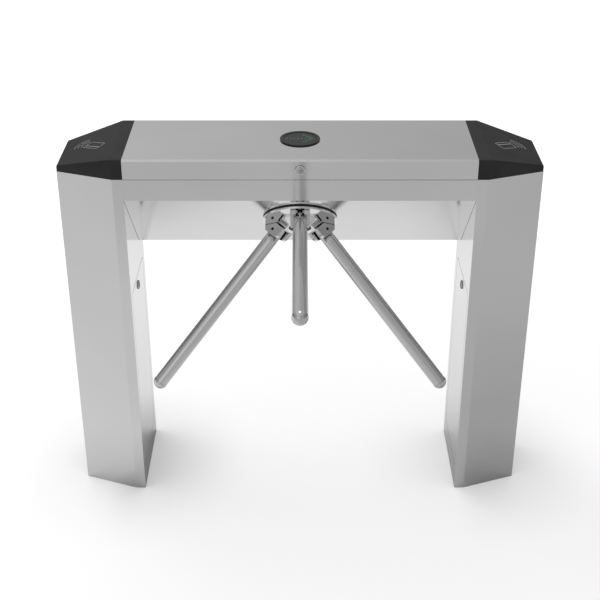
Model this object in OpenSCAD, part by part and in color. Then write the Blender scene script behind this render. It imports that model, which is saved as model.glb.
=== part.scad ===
// Tripod turnstile: a bridge housing on two hexagonal legs, with a three-armed hub on its slanted front panel.
// The origin is on the floor, midway between the legs. X runs along the lane, Y to the back and Z up.

/* [Overall] */
// Length over both leg ends, along the lane
overall_length = 1200; // [1120:10:1400]
// Depth of bridge and legs, front to back
overall_depth = 280; // [274:2:310]
// Height of the top face above the floor
overall_height = 980; // [960:5:1040]
// Thickness of the casing sheet
sheet = 2; // [1.5:0.5:2.5]
// Open seam round a leg door
seam_gap = 2; // [1.8:0.1:2.4]

/* [Legs] */
// Length of a leg along the lane
leg_length = 169; // [160:1:190]
// Length of the leg's parallel front and back faces
leg_flat = 26; // [24:1:32]
// Width of the narrow outer face
leg_outer_w = 172; // [150:2:190]
// Thickness of the base plate
base_t = 8; // [6:1:12]
// Radius of an anchor hole
anchor_r = 7; // [5:0.5:8]
// Radius of the cable entry in the base plate
conduit_r = 25; // [15:1:30]
// Radius of the cable port between leg and bridge
port_r = 22; // [15:1:26]

/* [Leg doors] */
// Width of the leg's inner face that the door leaf leaves free, front and back together
door_margin = 58; // [56:2:80]
// Distance of the door's upper edge below the bridge
door_drop = 68; // [60:2:200]
// Height of the door's lower edge above the floor
door_foot = 60; // [40:5:80]
// Corner radius of a door leaf
door_r = 12; // [6:1:20]
// Distance of the door lock below the leaf's top edge
door_lock_drop = 29; // [26:1:32]

/* [Bridge] */
// Height of the bridge, from its top face to its underside
bridge_h = 312; // [290:2:320]
// Height of the upright front face, lid included
front_h = 106; // [100:2:120]
// Height of the lid and of the end caps
lid_h = 51; // [45:1:60]
// Bevel along the lid's long top edges
lid_bevel = 4; // [2:0.5:6]
// Thickness of the rubber strip under the lid
gasket_t = 1; // [0.8:0.1:1.5]
// Slope of the lower front panel
panel_angle = 45; // [44:0.5:46]

/* [End caps] */
// Length of the flat top part of a cap
cap_flat = 30; // [27:1:45]
// Drop of the sloping top at its outer end
cap_drop = 35; // [20:1:38]
// Edge radius of a cap
cap_r = 5; // [3:0.5:7]
// Wall of a cap
cap_wall = 3; // [2:0.5:3.5]

/* [Indicator] */
// Radius of the round indicator on the lid
indicator_r = 50; // [46:1:60]
// Height of its rim above the lid
indicator_rise = 3; // [2:0.5:5]
// Radius of one lamp
lamp_r = 1.6; // [1:0.1:2]
// Pitch of the lamps in the arrow's shaft
lamp_pitch = 9.3; // [8:0.1:9.4]

/* [Hub] */
// Distance of the hub's centre below the panel's top edge
hub_down = 123; // [120:1:130]
// Depth behind the panel of the point where the arm axes meet
apex_depth = 44; // [42:0.5:46]
// Radius of the hub's flange
flange_r = 95; // [92:1:100]
// Thickness of the hub's flange
flange_t = 6; // [5:0.5:8]
// Gap between panel and flange
hub_gap = 3; // [2:0.1:3.5]
// Distance from the apex to a fork's cross bolt, along the arm
bolt_reach = 95.5; // [94:0.5:98]
// Width of a fork over its cheeks
fork_w = 47; // [44:1:50]
// Width of a fork's slot
fork_slot = 21; // [19:0.5:23]
// Radius of a cross bolt
bolt_r = 4; // [3:0.5:5]

/* [Arms] */
// Outer radius of an arm tube
arm_r = 18; // [17:0.5:19]
// Wall of an arm tube
arm_wall = 1.5; // [1.2:0.1:3]
// Distance from the apex to the centre of an arm's end cap
arm_reach = 597; // [450:1:620]

/* [Drive] */
// Radius of the main shaft in its bearings
shaft_r = 15; // [13:0.5:16]
// Outer radius of a main bearing
bearing_r = 31; // [30:0.5:32]
// Width of a main bearing
bearing_w = 16; // [14:0.5:18]
// Gear module
gear_module = 2; // [1.9:0.05:2]
// Teeth on the drive gear
gear_teeth = 72; // [70:2:74]
// Teeth on the motor pinion
pinion_teeth = 18; // [16:2:20]
// Face width of the gears
gear_w = 12; // [8:1:14]
// Radius of the motor
motor_r = 35; // [30:1:36]

/* [Hidden] */
// Fits and small allowances
overrun = 1;
running = 0.05;
press = 0.02;
loose = 0.2;
slack = 0.3;
lid_end_gap = 0.5;

// Casing
leg_in = overall_length / 2 - leg_length;
leg_kink = leg_in + leg_flat;
leg_out = overall_length / 2;
half_depth = overall_depth / 2;
leg_top = overall_height - lid_h;
body_top = leg_top - gasket_t / 2;
lid_bottom = leg_top + gasket_t / 2;
rim_w = 15;
gasket_w = 8;
gasket_inset = 0.5;

// Panel and hub axis, in the plane that looks along the lane
front_low = overall_height - front_h;
bridge_low = overall_height - bridge_h;
panel_foot = -half_depth + (front_low - bridge_low) / tan(panel_angle);
hub_y = -half_depth + hub_down * cos(panel_angle);
hub_z = front_low - hub_down * sin(panel_angle);
apex_y = hub_y + apex_depth * sin(panel_angle);
apex_z = hub_z + apex_depth * cos(panel_angle);
arm_angle = 90 - panel_angle;
arm_count = 3;
full_turn = 360;
arm_step = full_turn / arm_count;

// Hub, measured along its axis from the apex
flange_back = apex_depth + hub_gap;
flange_face = flange_back + flange_t;
flange_edge = 1;
seal_r = 93;
seal_w = 7;
seal_air = 0.4;
panel_hole_r = 72;

// Forks and core, measured from the cross bolt
fork_end = 14;
fork_back = 18;
fork_rise = 26;
fork_round = 14;
fork_web = 3;
fork_rim = 6;
fork_screw_r = 3;
fork_screw_l = 14;
fork_screw_out = 14;
screw_head_r = 5.5;
screw_head_h = 2.5;
core_gap = 5.5;
core_h = 17.5;
plug_r = 29;
plug_depth = 3.5;
plug_t = 2.7;
core_bolt_r = 6;
core_bolt_l = 26;
core_bolt_seat = 5;
core_head_r = 10;
core_head_h = 7.5;
core_pocket_r = 12;
bolt_inset = 2;
socket_r = 2.5;
socket_depth = 3;
tongue_t = 12;
tongue_round = 10;
bush_r = 9;
root_reach = 29.5;
root_l = 7;
spigot_l = 30;
tip_rim_l = 3;
tip_rim = 0.5;
tip_rise = 15;
tip_spigot_l = 20;
fork_l = bolt_reach + fork_end;
fork_back_l = bolt_reach - fork_back;
core_l = fork_back_l - core_gap;
dome_l = bolt_reach + root_reach;
tube_l = dome_l + root_l;

// Bearing housing, measured along the hub axis
plate_t = 8;
plate_w = 260;
plate_h = 190;
plate_r = 12;
stud_r = 4;
stud_l = 18;
stud_in = 12;
nut_r = 7.5;
nut_t = 6.5;
barrel_r = 42;
bearing_gap = 2;
clip_t = 1.5;
clip_in = 2;
clip_out = 1.5;
ring_t = 4;
ball_count = 9;
plate_front = apex_depth - sheet;
plate_back = plate_front - plate_t;
seat_in = 16;
seat_end = seat_in + bearing_w;
barrel_back = -seat_end - bearing_gap;
rear_plate_t = 6;
rear_plate_r = 52;
motor_lobe_r = 40;

// Shaft, gears and sensor
shoulder_r = 18;
shaft_nose_r = 12;
gear_front = -seat_end - 2 * bearing_gap;
gear_back = gear_front - gear_w;
gear_hub_r = 22;
gear_hub_back = gear_back - gear_w;
gear_web_t = 6;
gear_rim = 8;
gear_hole_r = 9;
gear_hole_count = 6;
backlash = 0.12;
pressure_angle = 20;
flank_steps = 4;
key_w = 8;
key_deep = 4;
key_proud = 3;
disc_r = 64;
disc_t = 1.5;
disc_notch = 6;
disc_notch_deep = 9;
shaft_nut_r = 18;
shaft_nut_t = 8.5;
shaft_tail = 3;
motor_l = 58;
motor_boss_r = 12;
motor_boss_l = 3;
motor_shaft_r = 5;
motor_shaft_in = 24;
gear_pitch_r = gear_module * gear_teeth / 2;
pinion_pitch_r = gear_module * pinion_teeth / 2;
gear_centres = gear_pitch_r + pinion_pitch_r;
disc_front = gear_hub_back;
disc_back = disc_front - disc_t;
nut_back = disc_back - shaft_nut_t;
shaft_back = nut_back - shaft_tail;
rear_plate_back = barrel_back;
motor_front = rear_plate_back + rear_plate_t;
sensor_w = 9;
sensor_pitch = 20;
sensor_slot = 3.5;
sensor_jaw = 3.5;
sensor_reach = 8;
sensor_root = 18;
bracket_t = 4;
bracket_w = 34;

// Leg doors
door_shift = 7;
hinge_depth = 7;
hinge_offset = 12;
hinge_pin_r = 2;
knuckle_r = 4.5;
hinge_arm_h = 16;
hinge_arm_t = 4;
hinge_arm_deep = 16;
hinge_arm_in = 20;
lug_t = 4;
hinge_inset = 90;
stop_w = 14;
stop_h = 20;
stop_lap = 6;
stop_inset = 60;
door_w = overall_depth - door_margin;
door_back = door_w / 2 - door_shift;
door_front = door_back - door_w;
door_top = bridge_low - door_drop;
door_h = door_top - door_foot;
pin_x = leg_in + hinge_depth;
pin_y = door_back + hinge_offset;

// Locks
lock_r = 12;
lock_rise = 2.5;
lock_barrel_r = 9.5;
lock_depth = 10;
lock_nut_r = 13;
lock_nut_t = 5;
plug_core_r = 6.2;
plug_recess = 0.8;
key_slot_w = 1.4;
key_slot_l = 7;
cam_l = 38;
cam_w = 12;
cam_t = 3;
cam_boss_r = 8.5;
keeper_w = 28;
keeper_h = 12;
keeper_drop = 1;
door_lock_y = -6;
lid_lock_z = leg_top + lid_h / 2;

// Lid hinges
lid_hinge_r = 4;
lid_hinge_air = 0.2;
lid_hinge_part = 20;
lid_hinge_leaf = 22;
lid_hinge_leaf_t = 1.5;
lid_hinge_shares = [-0.35, 0, 0.35];
lid_hinge_y = half_depth + lid_hinge_r + lid_hinge_air;
lid_hinge_foot = -lid_hinge_r - lid_hinge_air - sheet / 2;
notch_front = 12;
notch_side = 40;

// Indicator
bezel_wall = 4.2;
bezel_in = 14;
window_t = 3;
window_in = 1;
ledge_t = 2;
ledge_w = 2.5;
lamp_air = 0.1;
lamp_proud = 0.2;
lamp_board_t = 1.6;
lamp_board_drop = 5;
shaft_lamps = 8;
head_lamps = 5;
head_pitch = 6.5;
bezel_body_r = indicator_r - bezel_wall;
window_r = bezel_body_r - bezel_wall;

// Boards and fasteners
board_l = 160;
board_h = 110;
board_t = 1.6;
board_off = 8;
board_post_r = 4;
board_edge = 8;
board_rise = 147;
board_z = bridge_low + board_rise;
board_x_share = 0.72;
supply_l = 150;
supply_h = 98;
supply_d = 40;
reader_l = 60;
reader_w = 80;
reader_t = 12;
reader_top = 25;
reader_in = 48;
lip_h = 8;
lip_t = 2;
anchor_out = 40;
anchor_out_w = 90;
anchor_in = 26;
anchor_in_w = 208;
join_r = 5;
join_head_r = 9;
join_head_t = 6.5;
join_nut_t = 8;
join_tail = 3;
join_edge = 30;
join_foot = 32;
join_low = 98;
port_z_share = 0.45;
port_y_share = 0.35;

$fn = 96;
steel = [0.80, 0.81, 0.82];
bright = [0.88, 0.89, 0.90];
dark_steel = [0.45, 0.46, 0.48];
black = [0.13, 0.13, 0.14];
green = [0.20, 0.55, 0.25];

// Points of a convex outline moved inwards by t; the outline runs anticlockwise.
function edge_in(a, b, t) = let (d = b - a, n = [-d[1], d[0]] / norm(d)) [a + n * t, b + n * t];
function cross2(a, b) = a[0] * b[1] - a[1] * b[0];
function meet(p, q) =
    let (r = p[1] - p[0], s = q[1] - q[0]) p[0] + r * cross2(q[0] - p[0], s) / cross2(r, s);
function inset(pts, t) =
    let (n = len(pts))
    [for (i = [0 : n - 1])
        meet(edge_in(pts[(i + n - 1) % n], pts[i], t), edge_in(pts[i], pts[(i + 1) % n], t))];

// Places in an arm's plane: l runs along the arm, q square to it, away from the panel.
function arm_l(s, rho) = s * cos(arm_angle) + rho * sin(arm_angle);
function arm_q(s, rho) = s * sin(arm_angle) - rho * cos(arm_angle);
function q_at_s(s, l) = (s - l * cos(arm_angle)) / sin(arm_angle);
function l_at_s(s, q) = (s - q * sin(arm_angle)) / cos(arm_angle);
function q_at_rho(rho, l) = (l * sin(arm_angle) - rho) / cos(arm_angle);
function rho_at(l, s) = (l - s * cos(arm_angle)) / sin(arm_angle);

// The hub's frame: Z along its axis, out of the panel, and Y up the panel.
module hub_frame() {
    translate([0, apex_y, apex_z]) rotate([180 - panel_angle, 0, 0]) children();
}

// An arm's frame: Z along the arm, X along its cross bolt.
module arm_frame(index) {
    hub_frame() rotate([0, 0, arm_step * index]) rotate([-arm_angle, 0, 0]) children();
}

// Extrudes an outline drawn in Y and Z along X, centred.
module along_x(width) {
    rotate([90, 0, 90]) linear_extrude(height = width, center = true) children();
}

// A piece on the right leg, or its mirror image on the left one.
module on_side(side) {
    if (side == "left") mirror([1, 0, 0]) children();
    else children();
}

module rounded_square(w, h, r) {
    translate([-w / 2 + r, -h / 2]) square([w - 2 * r, h]);
    translate([-w / 2, -h / 2 + r]) square([w, h - 2 * r]);
    for (x = [-1, 1], y = [-1, 1]) translate([x * (w / 2 - r), y * (h / 2 - r)]) circle(r);
}

module ring(r_out, r_in, h) {
    difference() {
        cylinder(r = r_out, h = h);
        translate([0, 0, -overrun]) cylinder(r = r_in, h = h + 2 * overrun);
    }
}

function leg_plan() = [
    [leg_in, -half_depth], [leg_kink, -half_depth], [leg_out, -leg_outer_w / 2],
    [leg_out, leg_outer_w / 2], [leg_kink, half_depth], [leg_in, half_depth]
];

// Legs
module door_outline(grow) {
    translate([door_back - door_w / 2, door_foot + door_h / 2])
        rounded_square(door_w + 2 * grow, door_h + 2 * grow, door_r + grow);
}

module hinge_levels() {
    for (z = [door_foot + hinge_inset, door_top - hinge_inset]) translate([pin_x, pin_y, z]) children();
}

module hinge_lug() {
    lug_z = hinge_arm_h / 2 + slack;
    for (side = [0, 1]) mirror([0, 0, side]) translate([0, 0, lug_z]) difference() {
        union() {
            cylinder(r = knuckle_r, h = lug_t);
            translate([-hinge_depth + sheet / 2, -knuckle_r, 0])
                cube([hinge_depth - sheet / 2, 2 * knuckle_r, lug_t]);
        }
        translate([0, 0, -overrun]) cylinder(r = hinge_pin_r + running, h = lug_t + 2 * overrun);
    }
}

module port_hole() {
    translate([leg_in, half_depth * port_y_share, bridge_low + bridge_h * port_z_share])
        rotate([0, 90, 0]) cylinder(r = port_r, h = 4 * sheet, center = true);
}

function join_places() = [
    [half_depth - join_edge, bridge_low + join_foot],
    [half_depth - join_edge, leg_top - join_foot],
    [-half_depth + join_edge, leg_top - join_foot],
    [0, bridge_low + join_low]
];

module join_holes() {
    for (p = join_places()) translate([leg_in, p[0], p[1]])
        rotate([0, 90, 0]) cylinder(r = join_r + loose, h = 4 * sheet, center = true);
}

module leg_shell(side) {
    color(steel) on_side(side) {
        difference() {
            linear_extrude(height = leg_top) difference() {
                polygon(leg_plan());
                polygon(inset(leg_plan(), sheet));
            }
            translate([leg_in, 0, 0]) along_x(4 * sheet) door_outline(seam_gap);
            port_hole();
            join_holes();
        }
        hinge_levels() hinge_lug();
        for (z = [door_foot + stop_inset, door_top - stop_inset])
            translate([leg_in, door_front - stop_w + stop_lap, z - stop_h / 2]) {
                translate([sheet, 0, 0]) cube([sheet, stop_w, stop_h]);
                translate([sheet / 2, 0, 0]) cube([sheet, stop_w - stop_lap - seam_gap, stop_h]);
            }
        translate([leg_in + sheet / 2, door_lock_y - keeper_w / 2, door_top + seam_gap + keeper_drop])
            cube([lock_depth - sheet / 2, keeper_w, keeper_h]);
    }
}

module base_plate(side) {
    color(dark_steel) on_side(side) difference() {
        linear_extrude(height = base_t) polygon(inset(leg_plan(), sheet));
        for (y = [-1, 1]) {
            translate([leg_out - anchor_out, y * anchor_out_w / 2, -overrun])
                cylinder(r = anchor_r, h = base_t + 2 * overrun);
            translate([leg_in + anchor_in, y * anchor_in_w / 2, -overrun])
                cylinder(r = anchor_r, h = base_t + 2 * overrun);
        }
        translate([leg_in + leg_length / 2, 0, -overrun])
            cylinder(r = conduit_r, h = base_t + 2 * overrun);
    }
}

// The hinge arm curls round the edge of the door opening to a pin inside the leg.
module hinge_arm() {
    half = hinge_arm_t / 2;
    difference() {
        linear_extrude(height = hinge_arm_h, center = true) {
            translate([-hinge_depth + sheet / 2, -hinge_arm_in - half])
                square([hinge_arm_deep + hinge_depth - sheet / 2 + half, hinge_arm_t]);
            translate([hinge_arm_deep - half, -hinge_arm_in - half])
                square([hinge_arm_t, hinge_arm_in + hinge_arm_t]);
            translate([0, -half]) square([hinge_arm_deep + half, hinge_arm_t]);
            circle(knuckle_r);
        }
        cylinder(r = hinge_pin_r + running, h = hinge_arm_h + 2 * overrun, center = true);
    }
}

module door(side) {
    color(steel) on_side(side) {
        difference() {
            translate([leg_in + sheet / 2, 0, 0]) along_x(sheet) door_outline(0);
            translate([leg_in, door_lock_y, door_top - door_lock_drop])
                rotate([0, 90, 0]) cylinder(r = lock_barrel_r + press, h = 4 * sheet, center = true);
        }
        hinge_levels() hinge_arm();
    }
}

module door_hinge_pins() {
    color(bright) for (side = ["left", "right"]) on_side(side) hinge_levels()
        cylinder(r = hinge_pin_r, h = hinge_arm_h + 2 * slack + 2 * lug_t, center = true);
}

// Bolts that clamp the bridge's end walls to the legs, each with its nut inside the leg.
module join_bolts() {
    color(dark_steel) for (side = ["left", "right"]) on_side(side) for (p = join_places())
        translate([leg_in, p[0], p[1]]) rotate([0, 90, 0]) {
            translate([0, 0, -sheet - join_head_t])
                cylinder(r = join_r, h = join_head_t + 2 * sheet + join_nut_t + join_tail);
            translate([0, 0, -sheet - join_head_t]) cylinder(r = join_head_r, h = join_head_t, $fn = 6);
            translate([0, 0, sheet]) difference() {
                cylinder(r = join_head_r, h = join_nut_t, $fn = 6);
                translate([0, 0, -overrun]) cylinder(r = join_r + running, h = join_nut_t + 2 * overrun);
            }
        }
}

// Locks: Z points out of the face that the lock sits on, and the cam lies along X.
module lock_body() {
    color(bright) difference() {
        union() {
            cylinder(r = lock_r, h = lock_rise);
            translate([0, 0, -lock_depth]) cylinder(r = lock_barrel_r, h = lock_depth + lock_rise);
            translate([0, 0, -sheet - lock_nut_t]) cylinder(r = lock_nut_r, h = lock_nut_t, $fn = 6);
        }
        translate([0, 0, -lock_depth - overrun])
            cylinder(r = plug_core_r + running, h = lock_depth + lock_rise + 2 * overrun);
    }
}

module lock_cam() {
    cam_reach = cam_l - cam_w / 2;
    color(bright) {
        difference() {
            translate([0, 0, -lock_depth - slack - cam_t / 2])
                cylinder(r = plug_core_r, h = cam_t / 2 + lock_depth + slack + lock_rise - plug_recess);
            translate([-key_slot_l / 2, -key_slot_w / 2, lock_rise - plug_recess - lock_rise])
                cube([key_slot_l, key_slot_w, lock_depth]);
        }
        translate([0, 0, -lock_depth - slack - cam_t]) {
            cylinder(r = cam_boss_r, h = cam_t);
            translate([0, -cam_w / 2, 0]) cube([cam_reach, cam_w, cam_t]);
            translate([cam_reach, 0, 0]) cylinder(r = cam_w / 2, h = cam_t);
        }
    }
}

module at_door_lock(side) {
    on_side(side) translate([leg_in, door_lock_y, door_top - door_lock_drop])
        rotate([0, -90, 0]) rotate([0, 0, -90]) children();
}

module at_lid_lock() {
    translate([0, -half_depth, lid_lock_z]) rotate([90, 0, 0]) children();
}

// Bridge
function bridge_section() = [
    [-half_depth, front_low], [panel_foot, bridge_low], [half_depth, bridge_low],
    [half_depth, body_top], [-half_depth, body_top]
];

module lid_hinge_places() {
    for (share = lid_hinge_shares) translate([share * 2 * leg_in, lid_hinge_y, leg_top]) children();
}

module lid_knuckle() {
    difference() {
        rotate([0, 90, 0]) cylinder(r = lid_hinge_r, h = lid_hinge_part, center = true);
        rotate([0, 90, 0])
            cylinder(r = hinge_pin_r + running, h = lid_hinge_part + 2 * overrun, center = true);
    }
}

module body_hinge() {
    drop = leg_top - body_top;
    for (side = [-1, 1]) translate([side * (lid_hinge_part + slack), 0, 0]) {
        lid_knuckle();
        translate([-lid_hinge_part / 2, lid_hinge_foot, -lid_hinge_leaf])
            cube([lid_hinge_part, lid_hinge_leaf_t + sheet / 2, lid_hinge_leaf - drop]);
    }
}

module lid_hinge_wing() {
    rise = lid_bottom - leg_top;
    lid_knuckle();
    translate([-lid_hinge_part / 2, lid_hinge_foot, rise])
        cube([lid_hinge_part, lid_hinge_leaf_t + sheet / 2, lid_hinge_leaf - rise]);
}

function stud_places() = [for (x = [-1, 0, 1], y = [-1, 1])
    [x * (plate_w / 2 - stud_in), y * (plate_h / 2 - stud_in)]];

// The space inside the folded sheet, up to the height given.
function bridge_space(top) =
    let (p = inset(bridge_section(), sheet)) [p[0], p[1], p[2], [p[3][0], top], [p[4][0], top]];

module bridge_body() {
    color(steel) {
        difference() {
            along_x(2 * leg_in) polygon(bridge_section());
            along_x(2 * leg_in + 2 * overrun) polygon(bridge_space(body_top + overrun));
            hub_frame() translate([0, 0, plate_front - overrun])
                cylinder(r = panel_hole_r, h = sheet + 2 * overrun);
        }
        hub_frame() for (p = stud_places())
            translate([p[0], p[1], plate_front - stud_l]) cylinder(r = stud_r, h = stud_l + sheet / 2);
        lid_hinge_places() body_hinge();
    }
}

// End plates, welded inside the folded sheet.
module bridge_ends() {
    color(steel) for (side = ["left", "right"]) on_side(side) difference() {
        translate([leg_in - sheet / 2, 0, 0]) along_x(sheet) polygon(bridge_space(body_top));
        port_hole();
        join_holes();
    }
}

// Strips welded round the mouth, with a gap for the lid lock's cam, and the keeper that the cam turns behind.
module bridge_rim() {
    half_l = leg_in - sheet;
    half_w = half_depth - sheet;
    strip = rim_w - sheet;
    color(steel) {
        translate([0, 0, body_top - sheet]) {
            translate([-half_l, half_w - strip, 0]) cube([2 * half_l, strip, sheet]);
            translate([-half_l, -half_w, 0]) cube([half_l - notch_front, strip, sheet]);
            translate([notch_side, -half_w, 0]) cube([half_l - notch_side, strip, sheet]);
            for (side = ["left", "right"]) on_side(side)
                translate([half_l - strip, -half_w + strip + slack, 0])
                    cube([strip, 2 * (half_w - strip - slack), sheet]);
        }
        translate([-keeper_w / 2, -half_w, lid_lock_z - cam_l - keeper_h / 2])
            cube([keeper_w, lock_depth - sheet, keeper_h]);
    }
}

function lid_section() = [
    [-half_depth, lid_bottom], [half_depth, lid_bottom],
    [half_depth, overall_height - lid_bevel], [half_depth - lid_bevel, overall_height],
    [-half_depth + lid_bevel, overall_height], [-half_depth, overall_height - lid_bevel]
];

module lid() {
    lid_half = leg_in - lid_end_gap;
    color(steel) {
        difference() {
            along_x(2 * lid_half) polygon(lid_section());
            along_x(2 * (lid_half - sheet)) polygon(inset(lid_section(), sheet));
            translate([0, 0, lid_bottom])
                cube([2 * (lid_half - sheet), overall_depth - 2 * sheet, 4 * sheet], center = true);
            translate([0, 0, overall_height - 2 * sheet])
                cylinder(r = bezel_body_r + running, h = 4 * sheet);
            at_lid_lock() cylinder(r = lock_barrel_r + press, h = 4 * sheet, center = true);
        }
        lid_hinge_places() lid_hinge_wing();
    }
}

module lid_gasket() {
    outer = [2 * (leg_in - gasket_inset), overall_depth - 2 * gasket_inset];
    color(black) translate([0, 0, body_top]) difference() {
        translate([-outer[0] / 2, -outer[1] / 2, 0]) cube([outer[0], outer[1], gasket_t]);
        translate([-outer[0] / 2 + gasket_w, -outer[1] / 2 + gasket_w, -overrun])
            cube([outer[0] - 2 * gasket_w, outer[1] - 2 * gasket_w, gasket_t + 2 * overrun]);
    }
}

module lid_hinge_pins() {
    color(bright) lid_hinge_places() rotate([0, 90, 0])
        cylinder(r = hinge_pin_r, h = 3 * lid_hinge_part + 2 * slack, center = true);
}

// Indicator
module indicator_bezel() {
    color(black) translate([0, 0, overall_height]) difference() {
        union() {
            cylinder(r = indicator_r, h = indicator_rise);
            translate([0, 0, -bezel_in]) cylinder(r = bezel_body_r, h = bezel_in + indicator_rise);
        }
        translate([0, 0, indicator_rise - window_in - window_t])
            cylinder(r = window_r, h = window_t + window_in + overrun);
        translate([0, 0, -bezel_in - overrun]) cylinder(r = window_r - ledge_w, h = 2 * bezel_in);
        translate([0, 0, -bezel_in - overrun])
            cylinder(r = window_r, h = bezel_in + overrun + indicator_rise - window_in - window_t - ledge_t);
    }
}

// The lamps make an arrow that points along the lane.
function lamp_places() = concat(
    [for (i = [0 : shaft_lamps - 1]) [(i - (shaft_lamps - 1) / 2) * lamp_pitch, 0]],
    [for (i = [1 : head_lamps], side = [-1, 1])
        [(shaft_lamps - 1) / 2 * lamp_pitch - i * head_pitch * cos(45), side * i * head_pitch * sin(45)]]
);

module indicator_window() {
    top = overall_height + indicator_rise - window_in;
    color(black) translate([0, 0, top - window_t]) difference() {
        cylinder(r = window_r - running, h = window_t);
        for (p = lamp_places()) translate([p[0], p[1], -overrun])
            cylinder(r = lamp_r + lamp_air, h = window_t + 2 * overrun, $fn = 24);
    }
}

module indicator_lamps() {
    top = overall_height + indicator_rise - window_in;
    board_top = top - window_t - ledge_t - lamp_board_drop;
    color(green) {
        translate([0, 0, board_top - lamp_board_t]) cylinder(r = window_r - loose, h = lamp_board_t);
        for (p = lamp_places()) translate([p[0], p[1], board_top])
            cylinder(r = lamp_r, h = top + lamp_proud - board_top, $fn = 24);
    }
}

// End caps
function cap_fall(x) = cap_drop * max(0, x - leg_in - cap_flat) / (leg_length - cap_flat);

module cap_form(grow, low) {
    r = max(cap_r - grow, sheet / 2);
    plan = inset(leg_plan(), grow + r);
    corner = [plan[1], plan[2], plan[3], plan[4]];
    square_in = inset(leg_plan(), grow);
    ridge = leg_in + cap_flat;
    hull() {
        for (p = corner) {
            translate([p[0], p[1], low]) cylinder(r = r, h = sheet / 2, $fn = 32);
            translate([p[0], p[1], overall_height - grow - r - cap_fall(p[0] + r)]) sphere(r = r, $fn = 32);
        }
        for (i = [0, 5], side = i == 0 ? 1 : -1) {
            translate([square_in[i][0], square_in[i][1] + (side > 0 ? 0 : -r), low])
                cube([r, r, sheet / 2]);
            translate([square_in[i][0], square_in[i][1] + side * r, overall_height - grow - r])
                rotate([0, 90, 0]) cylinder(r = r, h = ridge - square_in[i][0], $fn = 32);
        }
    }
}

module cap(side) {
    lip_plan = inset(leg_plan(), sheet + loose);
    color(black) on_side(side) {
        difference() {
            cap_form(0, leg_top);
            cap_form(cap_wall, leg_top - overrun);
        }
        intersection() {
            cap_form(cap_wall / 2, leg_top);
            translate([leg_in + reader_in, -reader_w / 2, overall_height - reader_top])
                cube([reader_l, reader_w, reader_top]);
        }
        translate([0, 0, leg_top - lip_h]) linear_extrude(height = lip_h + sheet) difference() {
            polygon(lip_plan);
            polygon(inset(lip_plan, lip_t));
        }
    }
}

module card_readers() {
    color(dark_steel) for (side = ["left", "right"]) on_side(side)
        translate([leg_in + reader_in, -reader_w / 2, overall_height - reader_top - reader_t])
            cube([reader_l, reader_w, reader_t]);
}

// Hub
module hub_seal() {
    color(black) hub_frame() translate([0, 0, apex_depth])
        ring(seal_r, seal_r - seal_w, hub_gap - seal_air);
}

module fork_screw_places() {
    for (i = [0 : arm_count - 1], side = [-1, 1]) rotate([0, 0, arm_step * i])
        translate([side * (fork_slot + fork_w) / 4, flange_r - fork_rim - fork_screw_out, 0]) children();
}

module hub_flange() {
    color(bright) hub_frame() difference() {
        rotate_extrude() polygon([
            [shaft_nose_r + press, flange_back], [flange_r - flange_edge, flange_back],
            [flange_r, flange_back + flange_edge], [flange_r, flange_face - flange_edge],
            [flange_r - flange_edge, flange_face], [shaft_nose_r + press, flange_face]
        ]);
        fork_screw_places() {
            translate([0, 0, flange_back - overrun])
                cylinder(r = fork_screw_r + press, h = flange_t + 2 * overrun);
            translate([0, 0, flange_back - overrun])
                cylinder(r = screw_head_r + press, h = screw_head_h + overrun);
        }
    }
}

module hub_core() {
    top = flange_face + core_h;
    color(bright) hub_frame() difference() {
        union() {
            translate([0, 0, flange_face])
                cylinder(r1 = rho_at(core_l, flange_face), r2 = rho_at(core_l, top), h = core_h);
            for (i = [0 : arm_count - 1]) rotate([0, 0, arm_step * i]) along_x(fork_w) polygon([
                [0, flange_face], [rho_at(core_l, flange_face), flange_face],
                [rho_at(core_l, top), top], [0, top]
            ]);
        }
        translate([0, 0, top - plug_depth]) cylinder(r = plug_r, h = plug_depth + overrun);
        translate([0, 0, flange_face + core_bolt_seat]) cylinder(r = core_pocket_r, h = core_h);
        translate([0, 0, flange_face - overrun]) cylinder(r = core_bolt_r + loose, h = core_h);
    }
}

module hub_plug() {
    color(black) hub_frame() translate([0, 0, flange_face + core_h - plug_depth])
        cylinder(r = plug_r - loose, h = plug_t);
}

module core_bolt() {
    seat = flange_face + core_bolt_seat;
    color(dark_steel) hub_frame() {
        translate([0, 0, seat - core_bolt_seat - core_bolt_l])
            cylinder(r = core_bolt_r - running, h = core_bolt_l + core_bolt_seat + core_head_h / 2);
        translate([0, 0, seat]) cylinder(r = core_head_r, h = core_head_h, $fn = 6);
    }
}

// A fork stands on the flange and takes the arm's tongue between its cheeks.
module fork_outline() {
    rim = flange_r - fork_rim;
    difference() {
        polygon([
            [-q_at_s(flange_face, fork_back_l), fork_back_l], [-fork_rise, fork_back_l],
            [-fork_rise, fork_l], [-q_at_rho(rim, fork_l), fork_l],
            [-arm_q(flange_face, rim), arm_l(flange_face, rim)]
        ]);
        difference() {
            translate([-fork_rise - overrun, fork_l - fork_round])
                square([fork_round + overrun, fork_round + overrun]);
            translate([-fork_rise + fork_round, fork_l - fork_round]) circle(fork_round);
        }
    }
}

module fork(index) {
    color(bright) difference() {
        arm_frame(index) difference() {
            along_x(fork_w) fork_outline();
            translate([-fork_slot / 2, -arm_reach / 2, fork_back_l + fork_web])
                cube([fork_slot, arm_reach, arm_reach]);
            rotate([0, 90, 0]) translate([-bolt_reach, 0, 0])
                cylinder(r = bolt_r + running, h = 2 * fork_w, center = true);
        }
        hub_frame() fork_screw_places() translate([0, 0, flange_face - overrun])
            cylinder(r = fork_screw_r + press, h = fork_screw_l - flange_t + overrun);
    }
}

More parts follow.
